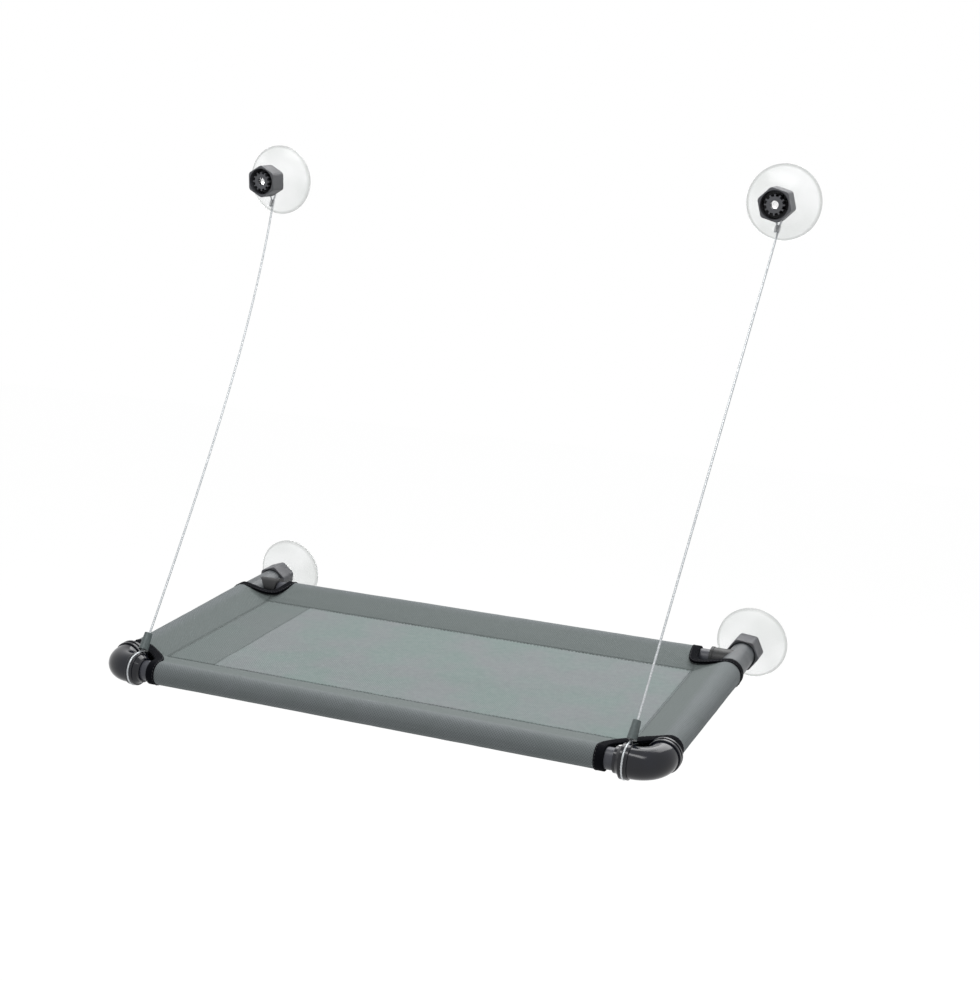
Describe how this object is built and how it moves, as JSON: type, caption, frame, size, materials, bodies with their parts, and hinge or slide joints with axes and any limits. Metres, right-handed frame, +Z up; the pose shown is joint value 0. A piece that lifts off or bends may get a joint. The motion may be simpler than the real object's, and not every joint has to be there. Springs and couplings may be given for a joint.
{
  "type": "window mounted cat perch",
  "caption": "Mesh cat bed on a pipe frame that hangs on a window, held by suction cups with deep hex nuts and by two steel cables up to the higher cups.",
  "frame": {"origin": "on the glass, half way between the axes of the two lower suction cups", "axes": "+X right along the window as seen from the room, +Y into the glass, +Z up"},
  "size_m": [0.643, 0.3605, 0.533],
  "materials": {
    "pipe": "satin",
    "fitting": "satin",
    "elbow": "gloss",
    "nut": "satin",
    "cup": "clear, glossy",
    "cable": "coated strands",
    "ferrule": "satin",
    "mesh_cloth": "woven mesh",
    "binding": "woven tape"
  },
  "bodies": {
    "bed_frame": {"bed_panel": "mesh_cloth", "front_left_binding": "binding", "front_left_elbow": "elbow", "front_pocket": "mesh_cloth", "front_rail": "pipe", "front_right_binding": "binding", "front_right_elbow": "elbow", "left_cable": "cable", "left_hem": "mesh_cloth", "left_pocket": "mesh_cloth", "left_rail": "pipe", "lower_left_cup": "cup", "lower_left_ferrule": "ferrule", "lower_right_cup": "cup", "lower_right_ferrule": "ferrule", "rear_left_binding": "binding", "rear_left_tee": "fitting", "rear_pocket": "mesh_cloth", "rear_rail": "pipe", "rear_right_binding": "binding", "rear_right_tee": "fitting", "right_cable": "cable", "right_pocket": "mesh_cloth", "right_rail": "pipe", "upper_left_cup": "cup", "upper_left_ferrule": "ferrule", "upper_right_cup": "cup", "upper_right_ferrule": "ferrule"},
    "upper_left_nut": {"upper_left_nut": "nut"},
    "upper_right_nut": {"upper_right_nut": "nut"},
    "lower_left_nut": {"lower_left_nut": "nut"},
    "lower_right_nut": {"lower_right_nut": "nut"}
  },
  "joints": [
    {"name": "upper_left_nut_turn", "type": "hinge", "parent": "bed_frame", "child": "upper_left_nut", "pos_m": [-0.284, -0.03, 0.458], "axis": [0, 1, 0], "continuous": true},
    {"name": "upper_right_nut_turn", "type": "hinge", "parent": "bed_frame", "child": "upper_right_nut", "pos_m": [0.284, -0.03, 0.458], "axis": [0, 1, 0], "continuous": true},
    {"name": "lower_left_nut_turn", "type": "hinge", "parent": "bed_frame", "child": "lower_left_nut", "pos_m": [-0.28, -0.03, 0], "axis": [0, 1, 0], "continuous": true},
    {"name": "lower_right_nut_turn", "type": "hinge", "parent": "bed_frame", "child": "lower_right_nut", "pos_m": [0.28, -0.03, 0], "axis": [0, 1, 0], "continuous": true}
  ]
}
